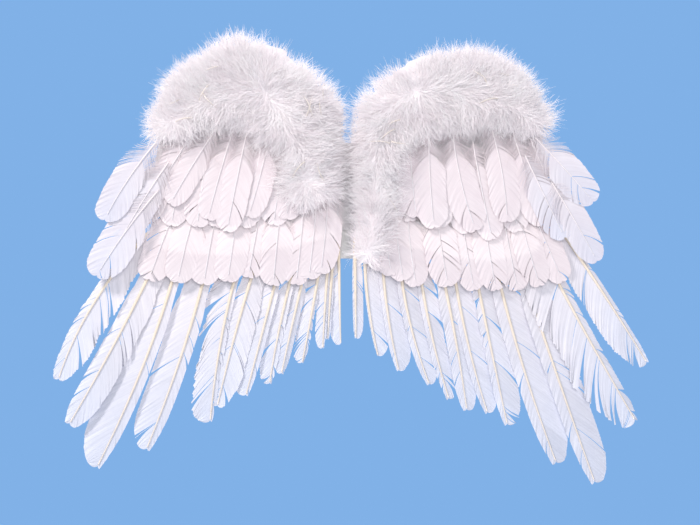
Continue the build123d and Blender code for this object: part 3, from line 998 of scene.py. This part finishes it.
def skin(name, out, rise):
    """A cotton skin stretched over the wire loop: out is the way it faces, rise its height there."""
    sheet = Flat(name)
    side = SIDES[name.split("_")[0]]
    far = sheet.high[0] if side > 0 else sheet.low[0]
    flat = sheet.grid(side * INNER_EDGE, far - side * 0.05 * MM, 1.8 * MM, 96)
    inset = sheet.inset(flat)
    height = lerp(0.35 * MM, rise, smooth((inset - 2.0 * MM) / (3.2 * MM)))
    height += 0.75 * MM * np.exp(-((inset - 5.2 * MM) / (1.9 * MM)) ** 2)
    height -= 0.45 * MM * np.exp(-((inset - CASING) / (1.4 * MM)) ** 2)
    pucker = np.sin(flat[..., 0] * 900) * np.sin(flat[..., 1] * 900)
    hinge = flat - np.array([side * 10 * MM, 17 * MM])
    fan = np.arctan2(hinge[..., 1], abs(hinge[..., 0]))
    creases = np.sin(fan * 13 + 1.5 * wave(flat, 5)) * smooth(np.linalg.norm(hinge, axis=-1) / (90 * MM))
    inside = smooth((inset - 6 * MM) / (8 * MM))
    height += 0.12 * MM * pucker * np.exp(-inset / (9 * MM))
    height += (0.4 * wave(flat * 0.8, 3) + 0.45 * creases - 0.3) * MM * inside
    build = Build()
    y = SKIN_MIDDLE + out * height
    build.cloth(placed(flat, y), placed(flat, y - out * SKIN_CLOTH), CLOTH_TINT)
    inner = abs(flat[0, :, 0]).argmin()
    stitches(build, placed(hem_line(sheet, flat, 1.5 * MM), SKIN_MIDDLE + out * 0.6 * MM))
    stitches(build, placed(hem_line(sheet, flat, CASING), SKIN_MIDDLE + out * (rise - 0.35 * MM)))
    seam = flat[:, inner] + np.array([side * 2 * MM, 0])
    seam_height = np.interp(seam[:, 1], flat[:, inner, 1], height[:, inner])
    stitches(build, placed(seam[2:-2], SKIN_MIDDLE + out * (seam_height[2:-2] + 0.2 * MM)))
    return build, sheet


def hem_line(sheet, flat, margin):
    """A line just inside the rim of a sheet, from its inner top corner round to its inner bottom one."""
    high, low = flat[-1], flat[0, ::-1]
    rim = np.vstack([high, low])
    middle = rim.mean(0)
    way = unit(middle - rim)
    line = rim + way * margin
    for _ in range(3):
        line = line + way * (margin - sheet.inset(line))[:, None]
    return line[abs(sheet.inset(line) - margin) < 0.4 * MM]


def skins():
    """The cotton skins of both wings, with what lies between them."""
    for wing, side in SIDES.items():
        for face, out in (("rear", 1), ("front", -1)):
            node = f"{wing}_{face}_skin"
            build, sheet = skin(node, out, 1.95 * MM)
            if face == "front":
                glue_tab(build, side)
            piece = build.finish(f"{wing}_{face}_cloth", wing + "_wing", [CLOTH, THREAD],
                                 "backing_cloth", node)
            sheet.size()
            sheet.area()
        wadding(wing, side)


def glue_tab(build, side):
    """The end of the front skin that reaches inwards, where the innermost quills are glued on."""
    x = np.linspace(4.5, 15, 8) * side * MM
    z = np.linspace(-51, -33, 12) * MM
    flat = np.stack(np.meshgrid(x, z), axis=-1)
    depth = SKIN_MIDDLE - 1.6 * MM + 0.1 * MM * wave(flat * 2, 1)
    build.cloth(placed(flat, depth), placed(flat, depth + SKIN_CLOTH), CLOTH_TINT)


def wadding(wing, side):
    """The soft filling between the skins, puffed and thin at its rim."""
    name = wing + "_core_wadding"
    sheet = Flat(name)
    flat = sheet.outwards(side, 0.3 * MM, 3 * MM, 48)
    puff = smooth(sheet.inset(flat) / (5 * MM)) * (0.95 + 0.15 * wave(flat * 2, 2)) * MM
    build = Build()
    front, back = SKIN_MIDDLE - puff - 0.05 * MM, SKIN_MIDDLE + puff + 0.05 * MM
    build.cloth(placed(flat, front), placed(flat, back), CLOTH_TINT)
    piece = build.finish(name + "_fibre", wing + "_wing", [WADDING], "wadding", name)


def feather_tapes():
    """Satin ribbon glued over the quills, slightly cockled, with a woven edge."""
    for wing, side in SIDES.items():
        name = wing + "_feather_tape"
        sheet = Flat(name)
        flat = sheet.outwards(side, 0.0, 1.3 * MM, TAPE_ROWS)
        share = np.linspace(0, 1, TAPE_ROWS)[:, None]
        run = flat[..., 0] * 1000
        cockle = 0.22 * np.sin(run * 0.33 + 2 * share) + 0.14 * np.sin(run * 0.71 - 3 * share)
        edge = np.exp(-((np.minimum(share, 1 - share)) / 0.03) ** 2) * 0.12
        depth = (-25.35 + cockle - edge) * MM
        build = Build()
        build.cloth(placed(flat, depth), placed(flat, depth + 0.25 * MM), TAPE_TINT)
        piece = build.finish(name + "_satin", wing + "_wing", [SATIN], "satin_tape", name)
        sheet.size()


def rounded_loop(half_x, half_z, corner, count):
    """A rounded rectangle about the origin, walked round with even steps."""
    quarter = corner * math.pi / 2
    runs = [2 * (half_z - corner), quarter, 2 * (half_x - corner), quarter] * 2
    starts = np.concatenate([[0], np.cumsum(runs)])
    points = []
    for at in np.linspace(0, sum(runs), count, endpoint=False):
        k = int(np.searchsorted(starts, at, side="right")) - 1
        centre = np.array([(1, 1), (-1, 1), (-1, -1), (1, -1)][k // 2]) * (half_x - corner, half_z - corner)
        way = math.pi / 2 * (k // 2)
        if k % 2:
            way += (at - starts[k]) / corner
            points.append(centre + corner * np.array([math.cos(way), math.sin(way)]))
        else:
            out = np.array([math.cos(way), math.sin(way)])
            points.append(centre + corner * out - np.array([-out[1], out[0]]) * (starts[k + 1] - at))
    return np.array(points)


def cushion(build, half_x, half_z, corner, base, top, tint):
    """A crowned closed form: flat underneath, full in the middle, drawn in at its seam and channel."""
    rim = rounded_loop(half_x, half_z, corner, 120)
    seam = (base + top) / 2 - 0.5 * MM
    rings = np.concatenate([np.linspace(0, 0.9, 22), [0.94, 0.97, 0.99, 1.0]])[:, None]
    flat = rim[None] * rings[..., None]
    puckers = 0.18 * MM * np.sin(np.arange(120) * 2 * math.pi / 120 * 20) * rings ** 4 * (1 - rings) * 8
    channel = 1.6 * MM * np.exp(-(flat[..., 1] / (2.4 * MM)) ** 2) * (1 - rings ** 6)
    front = seam + (top - seam) * np.sqrt(np.clip(1 - rings ** 4, 0, 1)) + puckers - channel
    back = seam + (base - seam) * np.sqrt(np.clip(1 - rings ** 12, 0, 1))
    build.grid(placed(flat, front)[:, ::-1], tint, 0, True)
    build.grid(placed(flat, back), tint, 0, True)
    return rim, seam


def pad():
    """The back pad: a brushed cloth cushion with a piped seam and a sewn channel across it."""
    low, high = corners("pad_cover")
    half = (high - low) / 2
    build = Build()
    rim, seam = cushion(build, half[0] - 0.8 * MM, half[2] - 0.8 * MM, 8 * MM, low[1], high[1], CLOTH_TINT)
    loop = np.vstack([rim, rim[:2]])
    build.tube(placed(loop, seam), np.full(len(loop), 0.8 * MM), CLOTH_TINT * 0.97, 0, 8)
    cross = np.stack([np.linspace(-half[0] + 5 * MM, half[0] - 5 * MM, 30), np.zeros(30)], axis=1)
    stitches(build, placed(cross, high[1] - 1.5 * MM))
    inner = np.vstack([rim * 0.86, rim[:1] * 0.86])
    stitches(build, placed(inner, high[1] - 0.78 * MM))
    piece = build.finish("pad_cover_cloth", "harness", [PAD_CLOTH, THREAD], "pad_cloth", "pad_cover")
    block = Build()
    cushion(block, half[0] - 2.2 * MM, half[2] - 2.2 * MM, 7 * MM, low[1] + 0.6 * MM, high[1] - 1.2 * MM,
            np.ones(3))
    piece = block.finish("pad_foam_block", "harness", [FOAM], "foam", "pad_foam")


def band(build, path, normals, ends, thick, ribs):
    """A closed strap along a loop in the y-z plane, with ribs along it and rounded edges."""
    share = np.linspace(0, 1, 40)
    x = lerp(*ends, share)
    body = thick / 2 * (1 - np.clip(abs(share - 0.5) * 2, 0, 1) ** 10 * 0.6)
    body = body - 0.07 * MM * (1 - np.cos(share * ribs * 2 * math.pi)) / 2
    faces = []
    for out in (1, -1):
        rows = path[:, None] + out * normals[:, None] * body[None, :, None]
        rows = np.stack([np.broadcast_to(x, rows.shape[:2]), rows[..., 0], rows[..., 1]], axis=-1)
        faces.append(np.vstack([rows, rows[:1]]))
    build.cloth(*faces, CLOTH_TINT)


STRAP_THICK = 1.2 * MM


def strap_path(node, count=220):
    """The middle line of a strap's loop in the y-z plane, and which way is out of it."""
    points = node_points(node)
    flat = np.unique(np.round(points[points[:, 0] < points[:, 0].min() + 0.1 * MM][:, 1:], 6), axis=0)
    apart = np.linalg.norm(flat[:, None] - flat[None], axis=-1)
    partner = abs(apart - STRAP_THICK).argmin(1)
    paired = abs(apart[np.arange(len(flat)), partner] - STRAP_THICK) < 0.06 * MM
    line = (flat[paired] + flat[partner[paired]]) / 2
    middle = (flat.min(0) + flat.max(0)) / 2
    line = line[np.argsort(np.arctan2(line[:, 1] - middle[1], line[:, 0] - middle[0]))]
    loop = np.vstack([line, line[:1]])
    along = np.concatenate([[0], np.cumsum(np.linalg.norm(np.diff(loop, axis=0), axis=1))])
    place = np.linspace(0, along[-1], count, endpoint=False)
    path = np.stack([np.interp(place, along, column) for column in loop.T], axis=1)
    path = (np.roll(path, 1, axis=0) + 2 * path + np.roll(path, -1, axis=0)) / 4
    way = unit(np.roll(path, -1, axis=0) - np.roll(path, 1, axis=0))
    return path, np.stack([way[:, 1], -way[:, 0]], axis=1)


def straps():
    """The elastic shoulder loops."""
    for name in SIDES:
        node = name + "_strap"
        low, high = corners(node)
        path, normals = strap_path(node)
        build = Build()
        band(build, path, normals, (low[0], high[0]), STRAP_THICK, 7)
        piece = build.finish(node + "_elastic", name + "_shoulder_loop", [ELASTIC, THREAD], "elastic", node)


def tabs():
    """Patches of folded webbing, box-stitched to the board, that hold the straps."""
    for name in SIDES:
        node = name + "_strap_tabs"
        build = Build()
        for part in loose_parts(node):
            bottom, top = part.min(0), part.max(0)
            rim = rounded_loop((top[0] - bottom[0]) / 2, (top[2] - bottom[2]) / 2, 1.2 * MM, 80)
            middle = ((bottom + top) / 2)[[0, 2]]
            rings = np.concatenate([np.linspace(0, 0.92, 14), [0.97, 1.0]])
            flat = rim[None] * rings[:, None, None] + middle
            soft = 0.5 * MM * np.sqrt(np.clip(1 - rings ** 10, 0, 1))[:, None] + 0.05 * MM * wave(flat * 3, 1)
            centre = (bottom[1] + top[1]) / 2
            build.grid(placed(flat, centre + soft)[:, ::-1], CLOTH_TINT * 0.97, 0, True)
            build.grid(placed(flat, centre - soft), CLOTH_TINT * 0.97, 0, True)
            box = rim[::2] * 0.78 + middle
            seams = [placed(np.vstack([box, box[:1]]), centre + 0.55 * MM)]
            for slope in (1, -1):
                line = middle + np.linspace(-1, 1, 20)[:, None] * rim.max(0) * 0.68 * (1, slope)
                seams.append(placed(line, centre + 0.56 * MM))
            for seam in seams:
                stitches(build, seam, 2.6 * MM, 1.9 * MM, 0.2 * MM)
        build.finish(node + "_webbing", "harness", [WEBBING, THREAD], "webbing", node)


def hinge_webbing():
    """The strip behind the hinges: webbing folded into three layers and sewn down both edges."""
    low, high = corners("hinge_strip")
    thick = (high[1] - low[1]) / 3
    x = np.linspace(low[0], high[0], 25)
    z = np.linspace(low[2], high[2], 90)
    flat = np.stack(np.meshgrid(x, z), axis=-1)
    edge = np.clip(1 - np.minimum(flat[..., 0] - low[0], high[0] - flat[..., 0]) / (1.1 * MM), 0, 1)
    weave = 0.06 * MM * np.sin(flat[..., 0] * 2 * math.pi / (3 * MM))
    build = Build()
    for layer in range(3):
        inset = 1 - 0.03 * abs(layer - 1)
        shrunk = flat * (inset, 1) + (0, 0.4 * MM * (layer - 1))
        shrunk[..., 1] = np.clip(shrunk[..., 1], low[2], high[2])
        middle = low[1] + (layer + 0.5) * thick
        swell = thick * 0.47 * np.sqrt(1 - 0.85 * edge ** 2)
        build.cloth(placed(shrunk, middle - swell - weave), placed(shrunk, middle + swell - weave),
                    CLOTH_TINT * (1 - 0.02 * layer))
    for across in (-0.78, 0.78):
        z = np.linspace(low[2] + 3 * MM, high[2] - 3 * MM, 40)
        line = np.stack([np.full(40, across * high[0]), z], axis=1)
        stitches(build, placed(line, low[1] - 0.06 * MM))
    build.finish("hinge_strip_webbing", "harness", [WEBBING, THREAD], "webbing", "hinge_strip")


def hard_parts():
    """Parts of the CAD that keep their own shape."""
    board = plain_material("board_polypropylene", 0.5, (0.80, 0.80, 0.78), (0.86, 0.86, 0.84), 260)
    wire = metal_material("spring_steel_wire", (0.62, 0.62, 0.64), 0.32, (1, 1, 1))
    crimp = metal_material("crimped_ferrule", (0.72, 0.71, 0.69), 0.28, (1, 1, 0.15))
    sleeve = plain_material("sleeve_nylon", 0.42, (0.84, 0.85, 0.86), (0.90, 0.91, 0.92), 500)
    looks = {"harness_board": (board, "board")}
    for wing in SIDES:
        looks[wing + "_wire_frame"] = (wire, "spring_wire")
        looks[wing + "_wire_ferrule"] = (crimp, "ferrule_metal")
        looks[wing + "_hinge_sleeves"] = (sleeve, "sleeve_plastic")
    for name, (look, slot) in looks.items():
        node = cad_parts[name]
        node.data.materials.clear()
        node.data.materials.append(look)


# Light and camera

VIEW_WIDTH = 1.178       # the picture's width, in widths of the object
LENS = 85.0
SENSOR = 36.0


def camera():
    """A long lens that looks straight at the front of the wings."""
    low, high = (np.array(corner) for corner in cad_box)
    width = (high[0] - low[0]) * VIEW_WIDTH
    distance = width * LENS / SENSOR
    data = bpy.data.cameras.new("camera")
    data.lens = LENS
    data.sensor_width = SENSOR
    eye = bpy.data.objects.new("camera", data)
    middle = (low + high) / 2
    eye.location = (middle[0] - 1 * MM, FLIGHT_PLANE - distance, middle[2] - 2 * MM)
    eye.rotation_euler = (math.radians(90), 0, 0)
    bpy.context.collection.objects.link(eye)
    bpy.context.scene.camera = eye


def area_light(name, place, target, size, power, colour):
    """A soft round lamp that faces a target."""
    data = bpy.data.lights.new(name, "AREA")
    data.shape = "DISK"
    data.size = size
    data.energy = power
    data.color = colour
    light = bpy.data.objects.new(name, data)
    light.location = place
    light.rotation_euler = (Vector(target) - Vector(place)).to_track_quat("-Z", "Y").to_euler()
    bpy.context.collection.objects.link(light)


def lights():
    middle = (0, FLIGHT_PLANE, -0.06)
    area_light("key", (-1.3, -0.95, 1.35), middle, 0.4, 34, (1.0, 0.93, 0.89))
    area_light("fill", (0.4, -2.3, 0.5), middle, 1.3, 24, (1.0, 0.94, 0.94))
    area_light("rim", (0.5, 1.5, 1.2), middle, 0.5, 26, (1.0, 0.97, 0.94))


SKY = (0.22, 0.44, 0.80)
AMBIENT = (0.80, 0.88, 1.0)
FLOOR_DROP = 1.0
FLOOR_REACH = 6.0


def studio():
    """A blue backdrop all round that doesn't tint the object, and a pale floor."""
    world = bpy.data.worlds.new("studio")
    bpy.context.scene.world = world
    world.use_nodes = True
    nodes, links = world.node_tree.nodes, world.node_tree.links
    ambient = nodes["Background"]
    ambient.inputs["Color"].default_value = (*AMBIENT, 1)
    ambient.inputs["Strength"].default_value = 0.5
    seen = nodes.new("ShaderNodeBackground")
    seen.inputs["Color"].default_value = (*SKY, 1)
    path = nodes.new("ShaderNodeLightPath")
    mix = nodes.new("ShaderNodeMixShader")
    links.new(path.outputs["Is Camera Ray"], mix.inputs["Fac"])
    links.new(ambient.outputs["Background"], mix.inputs[1])
    links.new(seen.outputs["Background"], mix.inputs[2])
    links.new(mix.outputs["Shader"], nodes["World Output"].inputs["Surface"])
    height = cad_box[0][2] - FLOOR_DROP
    square = [(x * FLOOR_REACH, z * FLOOR_REACH, height) for x, z in ((-1, -1), (1, -1), (1, 1), (-1, 1))]
    mesh = bpy.data.meshes.new("floor")
    mesh.from_pydata(square, [], [(0, 1, 2, 3)])
    floor = bpy.data.objects.new("floor", mesh)
    bpy.context.collection.objects.link(floor)
    floor.data.materials.append(plain_material("floor_paint", 0.9, (0.90, 0.91, 0.93), (0.92, 0.93, 0.95), 3))
    bpy.context.scene.view_settings.view_transform = "Standard"


camera()
studio()
lights()
flight_feathers()
covert_feathers()
down()
feather_tapes()
skins()
pad()
straps()
tabs()
hinge_webbing()
hard_parts()
